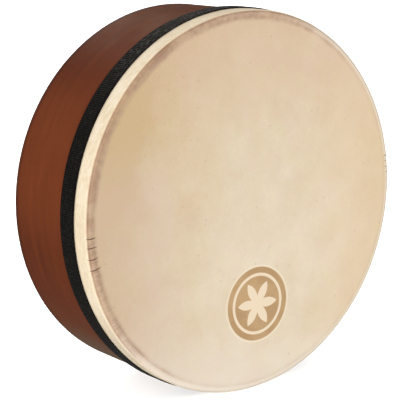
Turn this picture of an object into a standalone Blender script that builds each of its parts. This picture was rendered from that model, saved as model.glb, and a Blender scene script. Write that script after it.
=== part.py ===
"""Frame drum: a deep bent-wood hoop with a goat skin shrunk over its front edge.

The skin's lap is tacked to the outside of the hoop, and a woven tape covers the lap and the tacks.
The drum stands on its rim. Its axis runs along Y, the skin faces -Y, and the open back faces +Y.
The origin is on the floor, under the middle of the drum.
"""

import math

import bmesh
import bpy
from mathutils import Matrix, Vector

MM = 0.001

# Driving dimensions
HEAD_DIAMETER = 355.6 * MM  # 14 inches over the skin
DEPTH = 120.65 * MM  # 4 3/4 inches, face of the skin to the back of the hoop
WALL = 9.0 * MM  # thickness of the hoop
SKIN = 0.8 * MM  # thickness of the skin
GAP = 0.3 * MM  # free space between pieces that touch
FACETS = 72  # flats round the drum, one of them at the bottom
EDGE_STEPS = 4  # flats over the bearing edge's round
ROUND_STEPS = 2  # flats over a small round
MERGE = 0.001 * MM
SHARP = math.radians(30)  # edges steeper than this are shaded as edges

# Hoop
SKIN_OUTER = HEAD_DIAMETER / 2
HOOP_OUTER = SKIN_OUTER - SKIN - GAP
HOOP_INNER = HOOP_OUTER - WALL
BEARING_ROUND = 3.9 * MM  # outer round that the skin bends over
INNER_ROUND = 1.5 * MM
BACK_ROUND = 1.5 * MM

# Places along the axis
FACE_Y = -DEPTH / 2
BACK_Y = DEPTH / 2
BEARING_Y = FACE_Y + SKIN + GAP
TAPE_FRONT_Y = FACE_Y + 18.8 * MM
TAPE_WIDTH = 22.2 * MM  # 7/8 inch
TAPE_BACK_Y = TAPE_FRONT_Y + TAPE_WIDTH
LAP_END_Y = TAPE_BACK_Y - 2.0 * MM  # cut edge of the skin, under the tape
TACK_Y = TAPE_FRONT_Y + TAPE_WIDTH / 2

# Tacks
TACK_COUNT = 36
TACK_SIDES = 8
TACK_HEAD_RADIUS = 3.0 * MM
TACK_HEAD_HEIGHT = 0.4 * MM
TACK_RIM_HEIGHT = 0.1 * MM
TACK_DOME_RADIUS = 1.8 * MM  # where the head's slope turns into its dome
TACK_DOME_HEIGHT = 0.32 * MM
TACK_PIN_RADIUS = 0.7 * MM
TACK_PIN_LENGTH = 7.0 * MM
TACK_POINT_LENGTH = 1.6 * MM
TACK_POCKET = 0.5 * MM  # how deep the skin is pressed in under a head
TACK_SEAT = SKIN_OUTER - TACK_POCKET + GAP  # underside of the heads
TACK_PROUD = TACK_SEAT + TACK_HEAD_HEIGHT - SKIN_OUTER

# Tape
TAPE_SEAT = SKIN_OUTER + TACK_PROUD + GAP
TAPE_THICKNESS = 0.6 * MM
TAPE_OUTER = TAPE_SEAT + TAPE_THICKNESS
TAPE_EDGE_CUT = 0.2 * MM  # small bevel along both edges
TAPE_EDGE_DROP = 0.5 * MM  # how far the back edge bends down behind the lap's cut edge
SEAM_ANGLE = 300.0  # where the tape starts, in degrees from +X towards +Z
SEAM_STEPS = 1  # flats over which the tape's end lies on its start
SEAM_RISE_STEPS = 2  # flats over which the end climbs onto the start
SEAM_LIFT = TAPE_THICKNESS + GAP

STEP = 360.0 / FACETS
FLAT_MIDDLE = math.cos(math.radians(STEP / 2))
AXIS_HEIGHT = TAPE_OUTER * FLAT_MIDDLE


def clear_scene():
    for obj in list(bpy.data.objects):
        bpy.data.objects.remove(obj)


def material(name, color, roughness, metallic=0.0):
    made = bpy.data.materials.new(name)
    made.use_nodes = True
    shader = made.node_tree.nodes["Principled BSDF"]
    shader.inputs["Base Color"].default_value = (*color, 1.0)
    shader.inputs["Roughness"].default_value = roughness
    shader.inputs["Metallic"].default_value = metallic
    return made


def arc(centre, radius, start, end, steps):
    """Points (radius from the axis, y) on an arc. The angles are in degrees, 0 is outwards and 90 is +Y."""
    points = []
    for i in range(steps + 1):
        angle = math.radians(start + (end - start) * i / steps)
        points.append((centre[0] + radius * math.cos(angle), centre[1] + radius * math.sin(angle)))
    return points


def on_section(point, angle, lift=0.0):
    """A point (radius, y) of a cross-section, turned to an angle round the drum's axis."""
    turned = math.radians(angle)
    radius = point[0] + lift
    return Vector((radius * math.cos(turned), point[1], radius * math.sin(turned)))


def add_object(name, mesh_maker, parent, look):
    """A named object whose mesh is filled by mesh_maker(bm), with its faces pointing out."""
    bm = bmesh.new()
    mesh_maker(bm)
    bmesh.ops.recalc_face_normals(bm, faces=bm.faces)
    mesh = bpy.data.meshes.new(name)
    bm.to_mesh(mesh)
    bm.free()
    mesh.shade_smooth()
    mesh.set_sharp_from_angle(angle=SHARP)
    obj = bpy.data.objects.new(name, mesh)
    bpy.context.scene.collection.objects.link(obj)
    obj.parent = parent
    if look:
        mesh.materials.append(look)
    return obj


def spin_section(bm, section, closed):
    """Turns a section of (radius, y) points once round the drum's axis."""
    verts = [bm.verts.new(on_section(point, STEP / 2)) for point in section]
    edges = [bm.edges.new(pair) for pair in zip(verts, verts[1:])]
    if closed:
        edges.append(bm.edges.new((verts[-1], verts[0])))
    bmesh.ops.spin(
        bm,
        geom=verts + edges,
        cent=(0, 0, 0),
        axis=(0, -1, 0),
        angle=math.tau,
        steps=FACETS,
        use_merge=True,
    )
    bmesh.ops.remove_doubles(bm, verts=bm.verts, dist=MERGE)


def hoop_section():
    front_outer = arc(
        (HOOP_OUTER - BEARING_ROUND, BEARING_Y + BEARING_ROUND), BEARING_ROUND, 0, -90, EDGE_STEPS
    )
    front_inner = arc(
        (HOOP_INNER + INNER_ROUND, BEARING_Y + INNER_ROUND), INNER_ROUND, -90, -180, ROUND_STEPS
    )
    back_inner = arc(
        (HOOP_INNER + BACK_ROUND, BACK_Y - BACK_ROUND), BACK_ROUND, 180, 90, ROUND_STEPS
    )
    back_outer = arc(
        (HOOP_OUTER - BACK_ROUND, BACK_Y - BACK_ROUND), BACK_ROUND, 90, 0, ROUND_STEPS
    )
    return front_outer + front_inner + back_inner + back_outer


def skin_section():
    """From the middle of the face out, over the edge, down to the cut end of the lap, and back inside."""
    centre = (HOOP_OUTER - BEARING_ROUND, BEARING_Y + BEARING_ROUND)
    outside = arc(centre, BEARING_ROUND + GAP + SKIN, -90, 0, EDGE_STEPS + 1)
    inside = arc(centre, BEARING_ROUND + GAP, 0, -90, EDGE_STEPS)
    lap_end = [(SKIN_OUTER, LAP_END_Y), (SKIN_OUTER - SKIN, LAP_END_Y)]
    return [(0.0, FACE_Y)] + outside + lap_end + inside + [(0.0, FACE_Y + SKIN)]


def tape_section():
    """The tape lies flat over the lap and the tack heads, and its back edge bends down behind the lap."""
    front, back = TAPE_FRONT_Y, TAPE_BACK_Y
    edge_outer = TAPE_OUTER - TAPE_EDGE_DROP
    outside = [
        (TAPE_OUTER - TAPE_EDGE_CUT, front),
        (TAPE_OUTER, front + TAPE_EDGE_CUT),
        (TAPE_OUTER, LAP_END_Y),
        (edge_outer, back - TAPE_EDGE_CUT),
        (edge_outer - TAPE_EDGE_CUT, back),
    ]
    inside = [
        (TAPE_SEAT - TAPE_EDGE_DROP, back),
        (TAPE_SEAT, LAP_END_Y + GAP / 2),
        (TAPE_SEAT, front),
    ]
    return outside + inside


def wrap_tape(bm):
    """One strip wound once round the drum. Its end climbs onto its start and lies on it."""
    section = tape_section()
    count = FACETS + SEAM_STEPS
    first = SEAM_ANGLE + STEP / 2
    rings = []
    for i in range(count + 1):
        climb = (i - (FACETS - SEAM_RISE_STEPS)) / SEAM_RISE_STEPS
        lift = SEAM_LIFT * min(max(climb, 0.0), 1.0)
        rings.append([bm.verts.new(on_section(p, first + i * STEP, lift)) for p in section])
    for ring, following in zip(rings, rings[1:]):
        for i in range(len(section)):
            j = (i + 1) % len(section)
            bm.faces.new((ring[i], ring[j], following[j], following[i]))
    bm.faces.new(rings[0])
    bm.faces.new(rings[-1])


def turn_pin(bm, profile):
    """Turns (radius, height) points round Z, for one tack or one tack hole."""
    verts = [bm.verts.new((radius, 0.0, height)) for radius, height in profile]
    edges = [bm.edges.new(pair) for pair in zip(verts, verts[1:])]
    bmesh.ops.spin(
        bm,
        geom=verts + edges,
        cent=(0, 0, 0),
        axis=(0, 0, 1),
        angle=math.tau,
        steps=TACK_SIDES,
        use_merge=True,
    )
    bmesh.ops.remove_doubles(bm, verts=bm.verts, dist=MERGE)


def tack_profile():
    """Head, pin and point. Height 0 is the underside of the head."""
    return [
        (0.0, TACK_HEAD_HEIGHT),
        (TACK_DOME_RADIUS, TACK_DOME_HEIGHT),
        (TACK_HEAD_RADIUS, TACK_RIM_HEIGHT),
        (TACK_HEAD_RADIUS, 0.0),
        (TACK_PIN_RADIUS, 0.0),
        (TACK_PIN_RADIUS, TACK_POINT_LENGTH - TACK_PIN_LENGTH),
        (0.0, -TACK_PIN_LENGTH),
    ]


def tack_place(index):
    """Where a tack sits: its own +Z points out from the drum's axis, at the middle of a flat."""
    angle = 360.0 * index / TACK_COUNT
    seat = TACK_SEAT - SKIN_OUTER * (1 - FLAT_MIDDLE)
    turn = Matrix.Rotation(math.radians(-angle), 4, "Y")
    out = Matrix.Rotation(math.radians(90), 4, "Y")
    return turn @ Matrix.Translation((seat, TACK_Y, 0)) @ out


def add_tack_holes(axis):
    """The cutter for the pockets that the heads press into the lap, and for the holes of the pins below."""
    top = TACK_HEAD_HEIGHT + GAP
    bottom = -TACK_PIN_LENGTH - GAP
    head, pin = TACK_HEAD_RADIUS + GAP, TACK_PIN_RADIUS + GAP
    profile = [(0.0, top), (head, top), (head, -GAP), (pin, -GAP), (pin, bottom), (0.0, bottom)]

    def all_holes(bm):
        for i in range(TACK_COUNT):
            one = bmesh.new()
            turn_pin(one, profile)
            bmesh.ops.recalc_face_normals(one, faces=one.faces)
            one.transform(tack_place(i))
            copy = bpy.data.meshes.new("one_hole")
            one.to_mesh(copy)
            one.free()
            bm.from_mesh(copy)
            bpy.data.meshes.remove(copy)

    cutter = add_object("tack_hole_cutter", all_holes, axis, None)
    cutter.hide_render = True
    cutter.display_type = "WIRE"
    return cutter


def drill(obj, cutter):
    cut = obj.modifiers.new("tack_holes", "BOOLEAN")
    cut.operation = "DIFFERENCE"
    cut.solver = "EXACT"
    cut.object = cutter


def add_tacks(axis, look):
    first = add_object("skin_tack_01", lambda bm: turn_pin(bm, tack_profile()), axis, look)
    first.matrix_basis = tack_place(0)
    for i in range(1, TACK_COUNT):
        tack = bpy.data.objects.new(f"skin_tack_{i + 1:02d}", first.data)
        bpy.context.scene.collection.objects.link(tack)
        tack.parent = axis
        tack.matrix_basis = tack_place(i)


def main():
    clear_scene()
    stained_wood = material("stained_wood", (0.165, 0.040, 0.020), 0.42)
    goat_skin = material("goat_skin", (0.760, 0.610, 0.420), 0.60)
    black_tape = material("black_tape", (0.012, 0.012, 0.013), 0.75)
    tack_steel = material("tack_steel", (0.420, 0.420, 0.430), 0.38, 1.0)

    axis = bpy.data.objects.new("drum_axis", None)
    bpy.context.scene.collection.objects.link(axis)
    axis.location = (0, 0, AXIS_HEIGHT)

    holes = add_tack_holes(axis)
    hoop = add_object(
        "hoop", lambda bm: spin_section(bm, hoop_section(), closed=True), axis, stained_wood
    )
    skin = add_object(
        "goat_skin", lambda bm: spin_section(bm, skin_section(), closed=False), axis, goat_skin
    )
    drill(hoop, holes)
    drill(skin, holes)
    add_object("trim_tape", wrap_tape, axis, black_tape)
    add_tacks(axis, tack_steel)


main()
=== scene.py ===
"""The looks of a frame drum: a stained bent-wood hoop, a goat skin over its front, and a woven tape.

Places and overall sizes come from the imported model. Lengths are in metres.
The drum's axis runs along Y, the skin faces -Y, and angles round it go from +X towards +Z.
"""

import math

import bpy
import numpy as np
from mathutils import Matrix, Vector


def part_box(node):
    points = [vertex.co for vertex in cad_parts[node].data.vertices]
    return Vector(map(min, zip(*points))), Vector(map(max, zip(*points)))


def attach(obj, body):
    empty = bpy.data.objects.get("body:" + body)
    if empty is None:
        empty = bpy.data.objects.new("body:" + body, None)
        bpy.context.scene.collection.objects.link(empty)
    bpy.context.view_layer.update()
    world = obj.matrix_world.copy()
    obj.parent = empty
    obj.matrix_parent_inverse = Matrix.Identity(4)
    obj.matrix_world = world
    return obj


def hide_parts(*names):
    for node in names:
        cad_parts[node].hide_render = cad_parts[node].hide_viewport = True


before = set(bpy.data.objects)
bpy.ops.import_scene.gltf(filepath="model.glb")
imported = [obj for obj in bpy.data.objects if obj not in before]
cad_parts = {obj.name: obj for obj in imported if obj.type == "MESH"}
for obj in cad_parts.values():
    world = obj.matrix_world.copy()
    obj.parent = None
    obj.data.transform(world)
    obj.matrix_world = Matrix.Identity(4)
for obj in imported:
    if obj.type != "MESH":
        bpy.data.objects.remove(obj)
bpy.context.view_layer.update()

MM = 0.001

# Sizes read from the frame. The CAD solids are turned in 72 flats, so a box is a little narrower than
# its piece.
FLAT_HALF = math.radians(2.5)
SKIN_LOW, SKIN_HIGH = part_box("goat_skin")
HOOP_LOW, HOOP_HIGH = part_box("hoop")
TAPE_LOW, TAPE_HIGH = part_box("trim_tape")
AXIS_Z = (SKIN_LOW.z + SKIN_HIGH.z) / 2
SKIN_OUTER = (SKIN_HIGH.x - SKIN_LOW.x) / 2 / math.cos(FLAT_HALF)
HOOP_OUTER = (HOOP_HIGH.x - HOOP_LOW.x) / 2 / math.cos(FLAT_HALF)
TAPE_OUTER = (TAPE_HIGH.x - TAPE_LOW.x) / 2 / math.cos(FLAT_HALF)
FACE_Y, LAP_END_Y = SKIN_LOW.y, SKIN_HIGH.y
BEARING_Y, BACK_Y = HOOP_LOW.y, HOOP_HIGH.y
TAPE_FRONT_Y, TAPE_BACK_Y = TAPE_LOW.y, TAPE_HIGH.y

# Sizes that a box doesn't show, as the CAD solids have them
WALL = 9.0 * MM
SKIN = 0.8 * MM
GAP = 0.3 * MM
BEARING_ROUND = 3.9 * MM
INNER_ROUND = 1.5 * MM
BACK_ROUND = 1.5 * MM
TAPE_THICKNESS = 0.6 * MM
TAPE_EDGE_DROP = 0.5 * MM  # how far the tape's back edge bends down behind the lap
SEAM_ANGLE = 302.5  # where the tape starts, in degrees
SEAM_OVERLAP = 5.0
SEAM_RISE = 10.0  # degrees over which its end climbs onto its start
SEAM_LIFT = TAPE_THICKNESS + GAP
HOOP_INNER = HOOP_OUTER - WALL
EDGE_ROUND = BEARING_ROUND + GAP + SKIN  # the skin's outer side, where it bends over the hoop
FACE_END = SKIN_OUTER - EDGE_ROUND  # radius of the flat face

# The camera's place, as angles round the drum and a distance from the middle of its face
VIEW_AZIMUTH = math.radians(-37.3)
VIEW_ELEVATION = math.radians(11.47)
VIEW_DISTANCE = 1.340
VIEW_RIGHT, VIEW_UP = -45.6 * MM, 4.3 * MM
LENS = 131.65  # focal length, in millimetres

SHARP = math.radians(50)  # edges steeper than this are shaded as edges
DOUBLED = 1e-4  # angles round the drum closer than this, in radians, count as one


def linear(red, green, blue):
    """A colour given as 0 to 255 display values, in the linear values that the shaders take."""
    values = [v / 255 for v in (red, green, blue)]
    return tuple(v / 12.92 if v <= 0.04045 else ((v + 0.055) / 1.055) ** 2.4 for v in values)


# ---------------------------------------------------------------- meshes


def arc(centre, radius, start, end, steps):
    """Points (radius from the axis, y) on an arc. The angles are in degrees, 0 is outwards and 90 is +Y."""
    turns = np.radians(np.linspace(start, end, steps + 1))
    return [(centre[0] + radius * math.cos(t), centre[1] + radius * math.sin(t)) for t in turns]


def line(start, end, steps):
    """Points from start to end, without the two ends."""
    shares = np.linspace(0, 1, steps + 1)[1:-1]
    return [(start[0] + (end[0] - start[0]) * s, start[1] + (end[1] - start[1]) * s) for s in shares]


def place(radius, y, angle):
    """The points at a radius and an angle (in radians) round the drum's axis, as an array of x, y, z."""
    radius, y, angle = np.broadcast_arrays(radius, y, angle)
    return np.stack([radius * np.cos(angle), y, AXIS_Z + radius * np.sin(angle)], axis=-1)


def turned_from(angle, turn):
    """How far angles lie from a turn, both in radians, between minus and plus half a turn."""
    return (angle - turn + math.pi) % math.tau - math.pi


def ring_angles(steps, turns, reach, points):
    """Angles round the drum in even steps, with more of them within reach of some turns, and none doubled."""
    around = [np.linspace(0, math.tau, steps, endpoint=False)]
    around += [turn % math.tau + np.linspace(-reach, reach, points) for turn in turns]
    around = np.sort(np.concatenate(around))
    return around[np.concatenate([[True], np.diff(around) > DOUBLED])]


def grid_faces(rings, across, wrap_rings, wrap_across):
    """Quads over a grid of points, with each point's number being ring * across + place in the ring."""
    i = np.arange(rings if wrap_rings else rings - 1)[:, None]
    j = np.arange(across if wrap_across else across - 1)[None, :]
    after_i, after_j = (i + 1) % rings, (j + 1) % across
    corners = [i * across + j, i * across + after_j, after_i * across + after_j, after_i * across + j]
    return np.stack(np.broadcast_arrays(*corners), axis=-1).reshape(-1, 4)


def add_piece(name, points, faces, look, replaced):
    """A smooth-shaded piece that stands for a CAD node and rides on the drum's body."""
    mesh = bpy.data.meshes.new(name)
    mesh.from_pydata(points.reshape(-1, 3).tolist(), [], faces)
    mesh.update()
    mesh.shade_smooth()
    mesh.set_sharp_from_angle(angle=SHARP)
    mesh.materials.append(look)
    piece = bpy.data.objects.new(name, mesh)
    bpy.context.scene.collection.objects.link(piece)
    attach(piece, "root")
    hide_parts(replaced)
    return piece


# ---------------------------------------------------------------- hoop


SCARF_OUTSIDE = math.radians(-52)  # where the strip's feathered end shows on the outside
SCARF_INSIDE = math.radians(-78)
SCARF_HALF_WIDTH = 0.35 * MM
SCARF_DEPTH = 0.22 * MM
SCARF_RUN_OUT = 0.5 * MM  # how deep into the edges' rounds a glue line runs out
SCARF_REACH = 1.0 * MM  # how far to each side of a glue line the mesh is finer


def hoop_section():
    """(radius, y) once round: front edge, outer side, back edge, inner side."""
    front, back = BEARING_Y + BEARING_ROUND, BACK_Y - BACK_ROUND
    section = arc((HOOP_OUTER - BEARING_ROUND, front), BEARING_ROUND, -90, 0, 10)
    section += line((HOOP_OUTER, front), (HOOP_OUTER, back), 24)
    section += arc((HOOP_OUTER - BACK_ROUND, back), BACK_ROUND, 0, 90, 8)
    section += line((HOOP_OUTER - BACK_ROUND, BACK_Y), (HOOP_INNER + BACK_ROUND, BACK_Y), 4)
    section += arc((HOOP_INNER + BACK_ROUND, back), BACK_ROUND, 90, 180, 8)
    section += line((HOOP_INNER, back), (HOOP_INNER, BEARING_Y + INNER_ROUND), 24)
    section += arc((HOOP_INNER + INNER_ROUND, BEARING_Y + INNER_ROUND), INNER_ROUND, 180, 270, 6)
    return np.array(section)


def make_hoop(look):
    """The turned hoop, with the fine grooves where the bent strip's two feathered ends are glued down."""
    around = ring_angles(720, (SCARF_OUTSIDE, SCARF_INSIDE), SCARF_REACH / HOOP_OUTER, 21)
    section = hoop_section()
    radius, y = section[:, 0][None, :], section[:, 1][None, :]
    angle = around[:, None]
    outside = np.clip((radius - HOOP_OUTER) / SCARF_RUN_OUT + 1, 0, 1)
    inside = np.clip((HOOP_INNER - radius) / SCARF_RUN_OUT + 1, 0, 1)
    for turn, side, sign in ((SCARF_OUTSIDE, outside, -1), (SCARF_INSIDE, inside, 1)):
        away = turned_from(angle, turn) * HOOP_OUTER
        groove = np.exp(-((away / SCARF_HALF_WIDTH) ** 2)) * SCARF_DEPTH
        radius = radius + sign * groove * side
    points = place(radius, y, angle)
    faces = grid_faces(len(around), len(section), True, True).tolist()
    return add_piece("bent_hoop", points, faces, look, "hoop")


# ---------------------------------------------------------------- skin


# Gathers in the skin at its edge: angle in degrees, depth and how far each runs in from the edge
GATHERS = (
    (-177.2, 0.60 * MM, 11.5 * MM),
    (-174.5, 0.55 * MM, 11.5 * MM),
    (-171.1, 0.60 * MM, 11.5 * MM),
    (-167.9, 0.60 * MM, 12.5 * MM),
    (9.4, 0.40 * MM, 7.5 * MM),
    (7.6, 0.40 * MM, 7.0 * MM),
    (5.7, 0.40 * MM, 7.5 * MM),
    (3.9, 0.35 * MM, 6.5 * MM),
)
GATHER_HALF_WIDTH = 0.62 * MM
GATHER_END = FACE_END + 9.2 * MM  # where they run out, as a radius plus the distance behind the face
GATHER_CURVE = 7.0  # how strongly they curve, in sideways metres for each square metre inwards
GATHER_REACH = 2.4 * MM  # how far to each side of a gather the mesh is finer
RIDGE_AWAY = 1.25 * MM  # from a gather's valley to the low ridge beside it
RIDGE_HALF_WIDTH = 0.7 * MM
RIDGE_SHARE = 0.40  # the ridge's height as a share of the valley's depth


def skin_section():
    """(radius, y) from the middle of the face outwards, over the edge and down the lap, then back inside."""
    centre = (FACE_END, FACE_Y + EDGE_ROUND)
    face = (4, 12, 24, 40, 56, 72, 88, 104, 120, 132, 142, 150, 156, 160)
    outer = [(r * MM, FACE_Y) for r in face]
    outer += [(r * MM, FACE_Y) for r in np.arange(162, 172.4, 0.65)]
    outer += arc(centre, EDGE_ROUND, -90, 0, 14)
    outer += line((SKIN_OUTER, centre[1]), (SKIN_OUTER, LAP_END_Y), 40)
    outer += [(SKIN_OUTER, LAP_END_Y)]
    inner = [(SKIN_OUTER - SKIN, LAP_END_Y)]
    inner += line((SKIN_OUTER - SKIN, LAP_END_Y), (SKIN_OUTER - SKIN, centre[1]), 10)
    inner += arc(centre, EDGE_ROUND - SKIN, 0, -90, 8)
    inner += [(r * MM, FACE_Y + SKIN) for r in (170, 164, 150, 120, 80, 40, 12, 4)]
    return np.array(outer), np.array(inner)


def gathers(radius, y, angle):
    """(how far the skin's outer side sinks at its gathers, how deep in a crease a point is, 0 to 1)"""
    over_edge = radius + y - FACE_Y
    inward = np.clip(SKIN_OUTER - radius, 0, None)
    depth, crease = 0.0, 0.0
    for degrees, deep, reach in GATHERS:
        turn = math.radians(degrees)
        side = math.copysign(1, math.cos(turn))
        away = turned_from(angle, turn) * SKIN_OUTER + GATHER_CURVE * inward**2
        share = np.clip((GATHER_END - over_edge) / (GATHER_END - SKIN_OUTER + reach), 0, 1)
        lengthwise = np.sin(share * math.pi) ** 0.7
        half_width = GATHER_HALF_WIDTH * (0.45 + 0.55 * lengthwise)
        valley = np.exp(-((away / half_width) ** 2))
        ridge = RIDGE_SHARE * np.exp(-(((away - side * RIDGE_AWAY) / RIDGE_HALF_WIDTH) ** 2))
        depth = depth + deep * lengthwise * (valley - ridge)
        crease = crease + lengthwise * valley
    return depth, np.clip(crease, 0, 1)


def make_skin(look):
    """The stretched skin as one closed shell with gathers, which stores how deep in a crease a point is, for
    the shade that is painted into its creases.
    """
    outer, inner = skin_section()
    gathered = [math.radians(degrees) for degrees, _, _ in GATHERS]
    angle = ring_angles(540, gathered, GATHER_REACH / SKIN_OUTER, 25)[:, None]
    radius, y = outer[:, 0][None, :], outer[:, 1][None, :]
    depth, crease = gathers(radius, y, angle)
    lean = np.clip((radius - FACE_END) / EDGE_ROUND, 0, 1)  # 0 on the face, 1 on the lap
    outside = place(radius - depth * lean, y + depth * np.sqrt(1 - lean**2), angle)
    inside = place(inner[:, 0][None, :], inner[:, 1][None, :], angle)
    points = np.concatenate([outside, inside], axis=1)
    rings, across = points.shape[:2]
    faces = grid_faces(rings, across, True, False).tolist()
    middle = np.array([[0, FACE_Y, AXIS_Z], [0, FACE_Y + SKIN, AXIS_Z]])
    front, back = rings * across, rings * across + 1
    for i in range(rings):
        after = (i + 1) % rings
        faces.append((front, i * across, after * across))
        faces.append((back, after * across + across - 1, i * across + across - 1))
    points = np.concatenate([points.reshape(-1, 3), middle])
    piece = add_piece("drum_skin", points, faces, look, "goat_skin")
    crease_shade_mask = np.zeros((rings, across))
    crease_shade_mask[:, : crease.shape[1]] = crease
    store = piece.data.attributes.new("crease", "FLOAT", "POINT")
    store.data.foreach_set("value", np.append(crease_shade_mask.ravel(), [0, 0]))
    return piece


# ---------------------------------------------------------------- tape


RIB_PITCH = 2.1 * MM
RIB_STEPS = 6
RIB_HEIGHT = 0.36 * MM
RIB_SUNK = 0.6  # share of a rib's height that lies below the tape's outer side
SELVEDGE = 1.5 * MM
THREAD_PITCH = 1.1 * MM


def tape_section():
    """(radius, y, ribbed share) round the tape: front edge, outer side, back edge, inner side."""
    front, back = TAPE_FRONT_Y, TAPE_BACK_Y
    inner = TAPE_OUTER - TAPE_THICKNESS
    bead = TAPE_THICKNESS / 2
    middle = inner + bead
    ribs_from, ribs_to = front + SELVEDGE + 1.2 * MM, LAP_END_Y - 1.2 * MM
    ribbed = [(TAPE_OUTER - 0.05 * MM, front + SELVEDGE + 0.3 * MM, 0.6)]
    ribbed += [(TAPE_OUTER, y, 1.0) for y in np.linspace(ribs_from, ribs_to, 9)]
    ribbed += [(TAPE_OUTER - 0.1 * MM, LAP_END_Y - 0.3 * MM, 0.8)]
    front_edge = [(r, y, 0.0) for r, y in arc((middle, front + bead), bead, 180, 360, 6)]
    front_edge += [(TAPE_OUTER - 0.12 * MM, front + SELVEDGE * 0.8, 0.0)]
    dropped = middle - TAPE_EDGE_DROP
    back_edge = [(TAPE_OUTER - 0.2 * MM, LAP_END_Y + 0.5 * MM, 0.3)]
    back_edge += [(r, y, 0.0) for r, y in arc((dropped, back - bead), bead, 0, 180, 6)]
    under = [(inner, LAP_END_Y + GAP / 2, 0.0), (inner, front + 8.0 * MM, 0.0)]
    return np.array(front_edge + ribbed + back_edge + under)


def make_tape(look):
    """One strip wound once round the drum, its end lapped over its start, with a rib for each weft cord."""
    section = tape_section()
    length = math.radians(360 + SEAM_OVERLAP)
    ribs = round(length * TAPE_OUTER / RIB_PITCH)
    steps = ribs * RIB_STEPS
    share = np.linspace(0, 1, steps + 1)[:, None]
    angle = math.radians(SEAM_ANGLE) + share * length
    turned = np.degrees(share * length)
    lift = SEAM_LIFT * np.clip((turned - (360 - SEAM_RISE)) / SEAM_RISE, 0, 1)
    rib = RIB_HEIGHT * (np.abs(np.sin(share * ribs * math.pi)) - RIB_SUNK)
    radius = section[:, 0][None, :] + lift + rib * section[:, 2][None, :]
    points = place(radius, section[:, 1][None, :], angle)
    points[..., 2] = np.maximum(points[..., 2], 0.0)  # pressed flat where the drum stands on the floor
    rings, across = points.shape[:2]
    faces = grid_faces(rings, across, False, True).tolist()
    faces.append(list(range(across))[::-1])
    faces.append(list(range((rings - 1) * across, rings * across)))
    return add_piece("woven_tape", points, faces, look, "trim_tape")


# ---------------------------------------------------------------- materials


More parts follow.
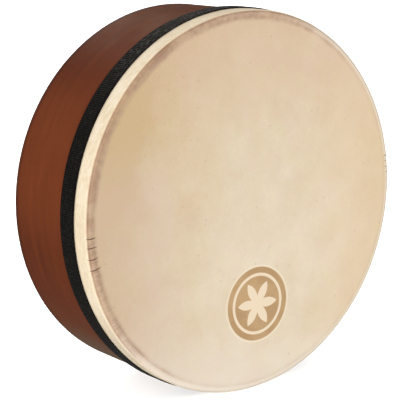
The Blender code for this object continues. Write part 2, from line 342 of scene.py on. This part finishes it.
class Look:
    """A material's node tree, with short calls for the nodes that the looks below are made of."""

    def __init__(self, name):
        self.material = bpy.data.materials.new(name)
        self.material.use_nodes = True
        self.tree = self.material.node_tree
        self.shader = self.tree.nodes["Principled BSDF"]

    def put(self, socket, value):
        """Links a socket to a node's output, or sets it to a number or a colour."""
        if isinstance(value, bpy.types.NodeSocket):
            self.tree.links.new(value, socket)
        elif socket.type == "RGBA" and len(value) == 3:
            socket.default_value = (*value, 1.0)
        else:
            socket.default_value = value

    def calc(self, operation, *values):
        node = self.tree.nodes.new("ShaderNodeMath")
        node.operation = operation
        for socket, value in zip(node.inputs, values):
            self.put(socket, value)
        return node.outputs[0]

    def total(self, first, *others):
        for other in others:
            first = self.calc("ADD", first, other)
        return first

    def times(self, first, *others):
        for other in others:
            first = self.calc("MULTIPLY", first, other)
        return first

    def length(self, a, b):
        """The length of the vector (a, b)."""
        return self.calc("SQRT", self.total(self.times(a, a), self.times(b, b)))

    def swing(self, value, amount):
        """A noise's swing round its middle, 0.5, times an amount."""
        return self.times(self.calc("SUBTRACT", value, 0.5), amount)

    def fade(self, value, start, end, low=0.0, high=1.0):
        """Goes smoothly from low to high as value goes from start to end."""
        node = self.tree.nodes.new("ShaderNodeMapRange")
        node.interpolation_type = "SMOOTHSTEP"
        for key, number in (("Value", value), ("From Min", start), ("From Max", end)):
            self.put(node.inputs[key], number)
        self.put(node.inputs["To Min"], low)
        self.put(node.inputs["To Max"], high)
        return node.outputs[0]

    def bell(self, value, middle, half_width):
        """1 at the middle, falling smoothly to 0 on both sides."""
        away = self.calc("ABSOLUTE", self.calc("SUBTRACT", value, middle))
        return self.fade(away, 0.0, half_width, 1.0, 0.0)

    def towards(self, x, z, degrees, size):
        """How far a point lies towards an angle round the drum: 1 at that side, and -1 opposite."""
        turn = math.radians(degrees)
        return self.total(self.times(x, math.cos(turn) / size), self.times(z, math.sin(turn) / size))

    def mix(self, factor, a, b, blend="MIX"):
        node = self.tree.nodes.new("ShaderNodeMix")
        node.data_type = "RGBA"
        node.blend_type = blend
        self.put(node.inputs["Factor"], factor)
        self.put(node.inputs[6], a)
        self.put(node.inputs[7], b)
        return node.outputs[2]

    def place(self):
        node = self.tree.nodes.new("ShaderNodeTexCoord")
        return node.outputs["Object"]

    def stored(self, name):
        """A number that the mesh stores at each of its points."""
        node = self.tree.nodes.new("ShaderNodeAttribute")
        node.attribute_name = name
        return node.outputs["Fac"]

    def split(self, vector):
        node = self.tree.nodes.new("ShaderNodeSeparateXYZ")
        self.put(node.inputs[0], vector)
        return node.outputs

    def join(self, x, y, z):
        node = self.tree.nodes.new("ShaderNodeCombineXYZ")
        for socket, value in zip(node.inputs, (x, y, z)):
            self.put(socket, value)
        return node.outputs[0]

    def noise(self, vector, scale, detail=3.0, roughness=0.55, distortion=0.0):
        node = self.tree.nodes.new("ShaderNodeTexNoise")
        self.put(node.inputs["Vector"], vector)
        settings = {"Scale": scale, "Detail": detail, "Roughness": roughness, "Distortion": distortion}
        for key, value in settings.items():
            self.put(node.inputs[key], value)
        return node.outputs["Fac"]

    def cells(self, vector, scale, randomness=1.0):
        """(distance to the nearest cell's point, that cell's random number)"""
        node = self.tree.nodes.new("ShaderNodeTexVoronoi")
        self.put(node.inputs["Vector"], vector)
        self.put(node.inputs["Scale"], scale)
        self.put(node.inputs["Randomness"], randomness)
        return node.outputs["Distance"], self.split(node.outputs["Color"])[0]

    def bump(self, height, distance, strength=1.0):
        node = self.tree.nodes.new("ShaderNodeBump")
        self.put(node.inputs["Height"], height)
        self.put(node.inputs["Distance"], distance)
        self.put(node.inputs["Strength"], strength)
        self.put(self.shader.inputs["Normal"], node.outputs[0])

    def drum_places(self):
        """x, y, z from the middle of the drum's axis, and the radius from that axis."""
        x, y, z = self.split(self.place())
        z = self.calc("SUBTRACT", z, AXIS_Z)
        return x, y, z, self.length(x, z)

    def set(self, **values):
        for key, value in values.items():
            self.put(self.shader.inputs[key.replace("_", " ")], value)
        return self.material


def stain_and_light_tone(look, x, z, streaks, fine, clouds):
    """How light the stain is, 0 to 1. Painted light makes it lighter on the side of the hoop that faces the
    key light, and lighter low down, as light from the floor.
    """
    painted_key_light = look.towards(x, z, 163, HOOP_OUTER)
    return look.total(
        0.38,
        look.swing(streaks, 0.95),
        look.swing(fine, 0.45),
        look.swing(clouds, 0.8),
        # Painted light: lighter on the side that faces the key light
        look.fade(painted_key_light, 0.88, 1.0, 0.0, 0.42),
        # Painted light from the floor: lighter low down
        look.fade(z, 20.0 * MM, -120.0 * MM, 0.0, 0.38),
    )


def wood_look():
    """Red-brown stain over a close grain that runs round the hoop, under a thin satin lacquer, with painted
    light, painted reflection and painted shade in its colour.
    """
    look = Look("stained_wood_look")
    x, y, z, radius = look.drum_places()
    across = look.total(y, radius)
    streaks = look.noise(look.join(x, look.times(across, 14.0), z), 9.0, 5.0, 0.6, 0.3)
    fine = look.noise(look.join(x, look.times(across, 40.0), z), 26.0, 3.0, 0.6)
    clouds = look.noise(look.join(x, look.times(across, 2.0), z), 7.0, 2.0, 0.5)
    pores_at = look.join(look.times(x, 60.0), look.times(across, 900.0), look.times(z, 60.0))
    pore, chance = look.cells(pores_at, 1.0)
    pores = look.times(look.fade(pore, 0.10, 0.32, 1.0, 0.0), look.fade(chance, 0.45, 0.55))
    tone = stain_and_light_tone(look, x, z, streaks, fine, clouds)
    color = look.mix(tone, linear(76, 32, 14), linear(113, 53, 23))
    color = look.mix(look.times(pores, 0.30), color, linear(50, 20, 11))

    # Painted reflection: a duller, greyer brown towards the top and, more so, towards the floor, where the
    # lacquer mirrors the room and the floor at a glancing angle
    low = look.fade(z, -75.0 * MM, -160.0 * MM, 0.0, 0.55)
    top = look.fade(z, 140.0 * MM, 172.0 * MM, 0.0, 0.20)
    color = look.mix(look.total(low, top), color, linear(116, 74, 36))
    # Painted reflection of the floor on the hoop's underside
    painted_floor_reflection = look.fade(z, -108.0 * MM, -148.0 * MM, 0.0, 0.70)
    color = look.mix(painted_floor_reflection, color, linear(104, 84, 56))

    # Painted shade: darker along the back edge, most of all in the edge's round and towards the top
    dark = look.fade(y, BACK_Y - 9.0 * MM, BACK_Y - 2.5 * MM)
    dark = look.times(dark, look.fade(z, 60.0 * MM, 140.0 * MM, 0.55, 0.80))
    color = look.mix(dark, color, linear(66, 32, 20))
    # Painted shade in the back edge's round
    rim = look.fade(y, BACK_Y - 2.2 * MM, BACK_Y - 0.8 * MM)
    color = look.mix(look.times(rim, 0.6), color, linear(48, 24, 16))

    # A pale line behind the tape, on the outside only
    pale_line = look.bell(y, TAPE_BACK_Y + 0.9 * MM, 1.3 * MM)
    pale_line = look.times(pale_line, look.fade(radius, HOOP_INNER, HOOP_OUTER))
    color = look.mix(look.times(pale_line, 0.75), color, linear(146, 112, 94))

    rough = look.fade(look.noise(look.place(), 30.0, 3.0), 0.2, 0.8, 0.34, 0.48)
    height = look.total(look.times(fine, 0.35), look.times(streaks, 0.3), look.times(pores, -0.5))
    look.bump(height, 0.08 * MM, 0.5)
    return look.set(Base_Color=color, Roughness=rough, Specular_IOR_Level=0.10)


# The round print on the skin: its middle and radius, right and up from the middle of the face
PRINT_X, PRINT_Z = 10.0 * MM, -95.5 * MM
PRINT_RADIUS = 35.2 * MM
PRINT_RING = 28.0 * MM  # radius of the light ring on it
PRINT_SOFT = 0.25 * MM  # half the width of the ink's soft edges
PETALS = 6
PETAL_LENGTH = 23.0 * MM
PETAL_HALF_WIDTH = 4.6 * MM
PETAL_CURVE = (PETAL_LENGTH**2 / 4 + PETAL_HALF_WIDTH**2) / (2 * PETAL_HALF_WIDTH)  # radius of its sides


def print_masks(look, x, z):
    """(disc, light rim round it, light ornament on it): a six-petalled compass rosette in a ring."""
    right = look.calc("SUBTRACT", x, PRINT_X)
    up = look.calc("SUBTRACT", z, PRINT_Z)
    out = look.length(right, up)
    disc = look.fade(out, PRINT_RADIUS - PRINT_SOFT, PRINT_RADIUS + PRINT_SOFT, 1.0, 0.0)
    rim = look.bell(out, PRINT_RADIUS + 1.2 * MM, 1.6 * MM)
    # PINGPONG folds the whole turn onto the angle away from the nearest petal's middle
    folded = look.calc("PINGPONG", look.calc("ARCTAN2", up, right), math.pi / PETALS)
    along = look.times(out, look.calc("COSINE", folded))
    beside = look.times(out, look.calc("SINE", folded))
    # A petal's side is an arc, whose middle lies beside the middle of the petal
    from_middle = look.calc("SUBTRACT", along, PETAL_LENGTH / 2)
    from_side = look.total(beside, PETAL_CURVE - PETAL_HALF_WIDTH)
    reach = look.length(from_middle, from_side)
    petals = look.fade(reach, PETAL_CURVE - PRINT_SOFT, PETAL_CURVE + PRINT_SOFT, 1.0, 0.0)
    ring = look.fade(look.bell(out, PRINT_RING, 2.2 * MM), 0.15, 0.35)
    return disc, rim, look.calc("MAXIMUM", petals, ring)


def add_print(look, color, x, y, z, patches):
    """The print, on the outer side of the face only."""
    front = look.fade(y, FACE_Y + 0.1 * MM, FACE_Y + 0.3 * MM, 1.0, 0.0)
    disc, rim, ornament = (look.times(mask, front) for mask in print_masks(look, x, z))
    color = look.mix(look.times(rim, 0.6), color, linear(246, 229, 200))
    ink = look.mix(look.fade(patches, 0.35, 0.65), linear(183, 148, 106), linear(195, 161, 119))
    return look.mix(disc, color, look.mix(ornament, ink, linear(238, 218, 189)))


def face_color(look, x, z, where, patches, grain):
    """Dried goat skin with soft clouds, palest low on the right and browner to the left and the top: partly
    the skin's own tone and partly painted light, as from a soft lamp low on the right.
    """
    clouds = look.noise(where, 11.0, 3.0, 0.5)
    from_x = look.calc("SUBTRACT", x, 60.0 * MM)
    from_z = look.total(z, 60.0 * MM)
    away_squared = look.total(look.times(from_x, from_x), look.times(from_z, from_z))
    # The gradient here, and the paler right and low parts below, are partly painted light
    tone = look.total(
        0.22,
        look.times(away_squared, 12.0),
        look.fade(x, -160.0 * MM, -85.0 * MM, 0.14, 0.0),
        look.fade(z, -165.0 * MM, -105.0 * MM, -0.25, 0.0),
        look.swing(clouds, 0.50),
        look.swing(patches, 0.50),
        look.swing(grain, 0.24),
    )
    color = look.mix(tone, linear(234, 221, 198), linear(206, 179, 138))
    right = look.fade(x, 40.0 * MM, 150.0 * MM, 0.0, 0.45)
    color = look.mix(right, color, linear(226, 198, 160))
    low = look.fade(look.towards(x, z, -101.5, SKIN_OUTER), 0.60, 0.95, 0.0, 0.60)
    color = look.mix(low, color, linear(231, 218, 202))
    high = look.times(look.fade(z, 50.0 * MM, 150.0 * MM), look.fade(x, -140.0 * MM, -60.0 * MM))
    color = look.mix(look.times(high, 0.36), color, linear(226, 200, 183))
    left = look.times(look.fade(x, -60.0 * MM, -115.0 * MM), look.fade(z, 85.0 * MM, 15.0 * MM))
    color = look.mix(look.times(left, 0.34), color, linear(214, 191, 177))
    rosy = look.fade(look.noise(where, 55.0, 5.0, 0.65), 0.3, 0.7)
    yellow = look.fade(look.noise(where, 38.0, 5.0, 0.65, 0.5), 0.3, 0.7)
    color = look.mix(rosy, color, (1.0, 0.972, 1.0), "MULTIPLY")
    return look.mix(yellow, color, (1.0, 1.0, 0.955), "MULTIPLY")


# The stain where the skin lies on the hoop's edge, as a radius plus the distance behind the face
STAIN_START, STAIN_FULL = FACE_END - 6.3 * MM, FACE_END - 1.3 * MM
LAP_START = FACE_END + 4.6 * MM  # where the stain ends and the pale lap begins


def add_edge_stain(look, color, where, z, side, over_edge, pale_at):
    """The stained ring: deepest at the upper left, and pale with little stain at the lower right. There the
    skin also gets a painted highlight where it starts to bend over the edge.
    """
    stained = look.fade(side, -0.50, 0.30, 1.0, 0.15)
    uneven = look.noise(where, 34.0, 5.0, 0.7)
    ring_at = look.total(over_edge, look.swing(look.noise(where, 70.0, 3.0), 4.0 * MM))
    ring = look.fade(ring_at, STAIN_START, STAIN_FULL)
    zone = look.times(ring, look.fade(pale_at, LAP_START, LAP_START + 1.4 * MM, 1.0, 0.0))
    blotches = look.fade(uneven, 0.38, 0.62, 0.42, 1.1)
    color = look.mix(look.times(zone, stained, blotches), color, linear(182, 150, 126))

    inner_line = look.bell(ring_at, FACE_END - 1.8 * MM, 2.2 * MM)
    outer_line = look.bell(pale_at, LAP_START - 0.9 * MM, 1.8 * MM)
    upper_left = look.bell(over_edge, FACE_END + 2.2 * MM, 4.5 * MM)
    lines = look.total(
        look.times(inner_line, look.fade(z, 60.0 * MM, -40.0 * MM, 0.12, 0.32)),
        look.times(outer_line, 0.75),
        look.times(upper_left, look.fade(side, -0.65, -1.0, 0.0, 0.75)),
    )
    lines = look.times(lines, stained, look.fade(uneven, 0.35, 0.65, 0.45, 1.1))
    color = look.mix(lines, color, linear(150, 116, 88))

    # Painted highlight where the skin starts to bend over the edge, on its lower right half
    painted_bend_highlight = look.times(look.fade(side, -0.45, 0.05), look.fade(over_edge, FACE_END - 2.0 * MM, FACE_END))
    return look.mix(look.times(painted_bend_highlight, 0.55), color, linear(240, 228, 210))


def add_wrinkle_shade(look, color, x, z, over_edge):
    """Painted shade of fine wrinkles across the edge, low on the left: dark stripes in the colour."""
    turn = look.times(look.calc("ARCTAN2", z, x), SKIN_OUTER)
    wrinkle_at = look.join(look.calc("ABSOLUTE", turn), look.times(over_edge, 0.10), 0.0)
    wrinkle = look.fade(look.noise(wrinkle_at, 620.0, 2.0, 0.5), 0.46, 0.64)
    low_left = look.times(look.fade(z, 15.0 * MM, -15.0 * MM), look.fade(x, -120.0 * MM, -155.0 * MM))
    on_edge = look.bell(over_edge, FACE_END + 0.7 * MM, 8.0 * MM)
    return look.mix(look.times(wrinkle, on_edge, low_left, 0.45), color, linear(158, 128, 106))


def skin_look():
    """Goat skin with pores, a stain where it lies on the hoop's edge, painted light across its face and on
    the edge's bend, painted shade in its creases and wrinkles, and a print.
    """
    look = Look("goat_skin_look")
    x, y, z, radius = look.drum_places()
    where = look.place()
    over_edge = look.total(radius, look.calc("SUBTRACT", y, FACE_Y))
    patches = look.noise(where, 42.0, 4.0, 0.6, 0.4)
    grain = look.noise(where, 330.0, 3.0, 0.6)
    color = face_color(look, x, z, where, patches, grain)

    pore, chance = look.cells(where, 120.0)
    pores = look.times(look.fade(pore, 0.06, 0.20, 1.0, 0.0), look.fade(chance, 0.78, 0.84))
    color = look.mix(look.times(pores, 0.25), color, linear(176, 148, 116))

    side = look.towards(x, z, -36.87, SKIN_OUTER)  # -1 at the upper left, 1 at the lower right
    # The pale lap starts further out at the upper left and low down
    shift = look.total(
        0.5 * MM,
        look.fade(side, -0.80, -0.95, 0.0, 0.9 * MM),
        look.fade(z, -20.0 * MM, -90.0 * MM, 0.0, 0.6 * MM),
    )
    pale_at = look.calc("SUBTRACT", over_edge, shift)
    color = add_edge_stain(look, color, where, z, side, over_edge, pale_at)

    slanted = look.times(look.total(y, look.times(x, 0.6)), 6.0)
    fibres = look.noise(look.join(look.times(x, 2.0), slanted, look.times(z, 2.0)), 90.0, 4.0, 0.6)
    lap_tone = look.fade(look.total(look.times(fibres, 0.6), look.times(patches, 0.4)), 0.32, 0.68)
    lap_color = look.mix(lap_tone, linear(222, 201, 167), linear(240, 226, 201))
    color = look.mix(look.fade(pale_at, LAP_START, LAP_START + 2.0 * MM), color, lap_color)

    color = add_wrinkle_shade(look, color, x, z, over_edge)
    # Painted shade in the gathers' creases
    crease_shade_mask = look.fade(look.stored("crease"), 0.20, 0.80, 0.0, 0.82)
    color = look.mix(crease_shade_mask, color, linear(104, 76, 58))
    color = add_print(look, color, x, y, z, patches)

    rough = look.fade(patches, 0.2, 0.8, 0.50, 0.62)
    height = look.total(
        look.times(grain, 0.5),
        look.times(patches, 0.6),
        look.times(pores, -0.6),
        look.times(fibres, 0.5),
    )
    look.bump(height, 0.10 * MM, 0.35)
    return look.set(Base_Color=color, Roughness=rough, Specular_IOR_Level=0.25)


def tape_look():
    """Black woven tape: warp threads along it, over weft cords that make its ribs, and smooth selvedges, with
    painted shade in its grooves and painted glints on top.
    """
    look = Look("black_tape_look")
    x, y, z, radius = look.drum_places()
    front, back = TAPE_FRONT_Y + SELVEDGE, TAPE_BACK_Y - SELVEDGE
    selvedge = look.total(
        look.fade(y, front, front + 0.5 * MM, 1.0, 0.0),
        look.fade(y, back - 0.5 * MM, back),
    )
    thread = look.calc("SINE", look.times(y, math.tau / THREAD_PITCH))
    turn = look.times(look.calc("ARCTAN2", z, x), TAPE_OUTER / RIB_PITCH)
    cord = look.cells(look.join(turn, look.times(y, 1 / THREAD_PITCH), 0.0), 1.0, 0.5)[1]
    crest = look.fade(look.calc("SUBTRACT", radius, TAPE_OUTER), -0.18 * MM, 0.13 * MM)
    fuzz = look.noise(look.place(), 700.0, 2.0, 0.7)
    tone = look.total(0.30, look.times(thread, 0.12), look.times(fuzz, 0.4), look.times(cord, 0.4))
    # Painted shade: the colour darkens in the grooves between the cords, where the surface sinks below the
    # crests
    color = look.mix(look.times(crest, tone), linear(4, 3, 2), linear(27, 25, 20))
    # Painted glints on some of the cords, faint all round and strongest on top
    painted_glints = look.times(look.fade(cord, 0.74, 0.84), look.fade(z, 112.0 * MM, 152.0 * MM, 0.08, 0.70))
    color = look.mix(look.times(painted_glints, crest), color, linear(92, 90, 87))
    color = look.mix(look.times(selvedge, 0.85), color, linear(15, 8, 4))
    rough = look.total(look.fade(cord, 0.2, 0.8, 0.16, 0.42), look.fade(crest, 0.0, 0.7, 0.35, 0.0))
    look.bump(look.total(look.times(thread, 0.5), fuzz), 0.10 * MM, 0.8)
    return look.set(Base_Color=color, Roughness=rough, Specular_IOR_Level=0.12)


def steel_look():
    """Plain steel with fine forging marks, for the tacks under the tape."""
    look = Look("tack_steel_look")
    marks = look.noise(look.place(), 900.0, 4.0, 0.6)
    color = look.mix(look.fade(marks, 0.3, 0.7), linear(150, 150, 152), linear(186, 186, 188))
    rough = look.fade(marks, 0.3, 0.7, 0.30, 0.48)
    look.bump(marks, 0.05 * MM, 0.4)
    return look.set(Base_Color=color, Roughness=rough, Metallic=1.0)


def floor_look():
    """A matt pale floor, very slightly uneven in tone."""
    look = Look("pale_floor_look")
    marks = look.noise(look.place(), 3.0, 2.0)
    color = look.mix(marks, (0.90, 0.90, 0.90), (0.92, 0.92, 0.92))
    return look.set(Base_Color=color, Roughness=0.9, Specular_IOR_Level=0.1)


# ---------------------------------------------------------------- stage, light and camera


FLOOR_HALF = 20.0  # half the floor's side, in metres
BEHIND = (-0.22, 0.92, 0.30)  # the direction behind the drum in which the room is darkest
ROOM_BRIGHT, ROOM_DIM = 0.66, 0.15


def view_axes():
    """Right, up and back (towards the camera) of the viewpoint."""
    ca, sa = math.cos(VIEW_AZIMUTH), math.sin(VIEW_AZIMUTH)
    ce, se = math.cos(VIEW_ELEVATION), math.sin(VIEW_ELEVATION)
    return Vector((ca, sa, 0)), Vector((-sa * se, ca * se, ce)), Vector((sa * ce, -ca * ce, se))


def add_camera():
    right, up, back = view_axes()
    face = Vector((0, FACE_Y, AXIS_Z))
    spot = face + right * VIEW_RIGHT + up * VIEW_UP + back * VIEW_DISTANCE
    axes = Matrix((right, up, back)).transposed()
    camera = bpy.data.objects.new("camera", bpy.data.cameras.new("camera"))
    bpy.context.scene.collection.objects.link(camera)
    camera.matrix_world = Matrix.Translation(spot) @ axes.to_4x4()
    camera.data.lens = LENS
    camera.data.clip_start = 0.05
    camera.data.clip_end = 100
    bpy.context.scene.camera = camera


def add_floor():
    """A wide pale floor with a lamp of its own, which doesn't reach the drum. It throws no light back up."""
    half = FLOOR_HALF
    mesh = bpy.data.meshes.new("floor")
    corners = [(-half, -half, 0), (half, -half, 0), (half, half, 0), (-half, half, 0)]
    mesh.from_pydata(corners, [], [(0, 1, 2, 3)])
    mesh.materials.append(floor_look())
    floor = bpy.data.objects.new("floor", mesh)
    bpy.context.scene.collection.objects.link(floor)
    floor.visible_diffuse = False
    floor.visible_glossy = False
    lamp = add_sun("floor_light", (0.1, 0.2, 1.0), 4.0, 70)
    only_floor = bpy.data.collections.new("lit_by_floor_light")
    only_floor.objects.link(floor)
    lamp.light_linking.receiver_collection = only_floor
    lamp.light_linking.blocker_collection = only_floor


def add_softbox(name, direction, distance, size, power, color):
    """A square area light that shines on the drum's middle from a direction."""
    light = bpy.data.lights.new(name, "AREA")
    light.energy = power
    light.size = size
    light.color = color
    box = bpy.data.objects.new(name, light)
    bpy.context.scene.collection.objects.link(box)
    towards = Vector(direction).normalized()
    box.location = Vector((0, 0, AXIS_Z)) + towards * distance
    box.rotation_euler = towards.to_track_quat("Z", "Y").to_euler()


def add_sun(name, direction, strength, spread):
    """Soft light from one direction, as from a wide panel a long way off. spread is in degrees."""
    light = bpy.data.lights.new(name, "SUN")
    light.energy = strength
    light.angle = math.radians(spread)
    sun = bpy.data.objects.new(name, light)
    bpy.context.scene.collection.objects.link(sun)
    sun.rotation_euler = Vector(direction).to_track_quat("Z", "Y").to_euler()
    return sun


def add_world():
    """A pale room, darker behind the drum, which shows pure white to the camera."""
    world = bpy.data.worlds.new("studio")
    bpy.context.scene.world = world
    world.use_nodes = True
    nodes, links = world.node_tree.nodes, world.node_tree.links
    background = nodes["Background"]
    coords = nodes.new("ShaderNodeTexCoord")
    behind = nodes.new("ShaderNodeVectorMath")
    behind.operation = "DOT_PRODUCT"
    behind.inputs[1].default_value = BEHIND
    links.new(coords.outputs["Generated"], behind.inputs[0])
    dim = nodes.new("ShaderNodeMapRange")
    dim.interpolation_type = "SMOOTHSTEP"
    settings = {"From Min": -0.1, "From Max": 0.65, "To Min": ROOM_BRIGHT, "To Max": ROOM_DIM}
    for key, value in settings.items():
        dim.inputs[key].default_value = value
    links.new(behind.outputs["Value"], dim.inputs["Value"])
    path = nodes.new("ShaderNodeLightPath")
    strength = nodes.new("ShaderNodeMath")
    strength.operation = "MAXIMUM"
    links.new(dim.outputs[0], strength.inputs[0])
    links.new(path.outputs["Is Camera Ray"], strength.inputs[1])
    links.new(strength.outputs[0], background.inputs["Strength"])
    background.inputs["Color"].default_value = (1.0, 1.0, 1.0, 1.0)


def add_light():
    """A key light from the front left, a weak light from below, and soft light from behind for the open side.

    The floor is hidden from the drum's own rays, so part of the low light reaches the drum through it.
    """
    add_world()
    add_sun("key_light", (-0.80, -0.56, 0.33), 1.95, 50)
    add_sun("low_light", (-0.65, -0.2, -0.80), 1.05, 90)
    fill = add_sun("back_fill", (-0.15, 1.0, 0.27), 1.8, 90)
    fill.visible_glossy = False
    add_softbox("back_light", (0.20, 0.78, 0.58), 2.6, 1.1, 3.0, (1.0, 0.90, 0.78))
    bpy.context.scene.view_settings.view_transform = "Standard"


# ---------------------------------------------------------------- the drum


add_camera()
add_floor()
add_light()
make_hoop(wood_look())
skin = make_skin(skin_look())
tape = make_tape(tape_look())
steel = steel_look()
for name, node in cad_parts.items():
    if name.startswith("skin_tack"):
        node.data.materials.clear()
        node.data.materials.append(steel)
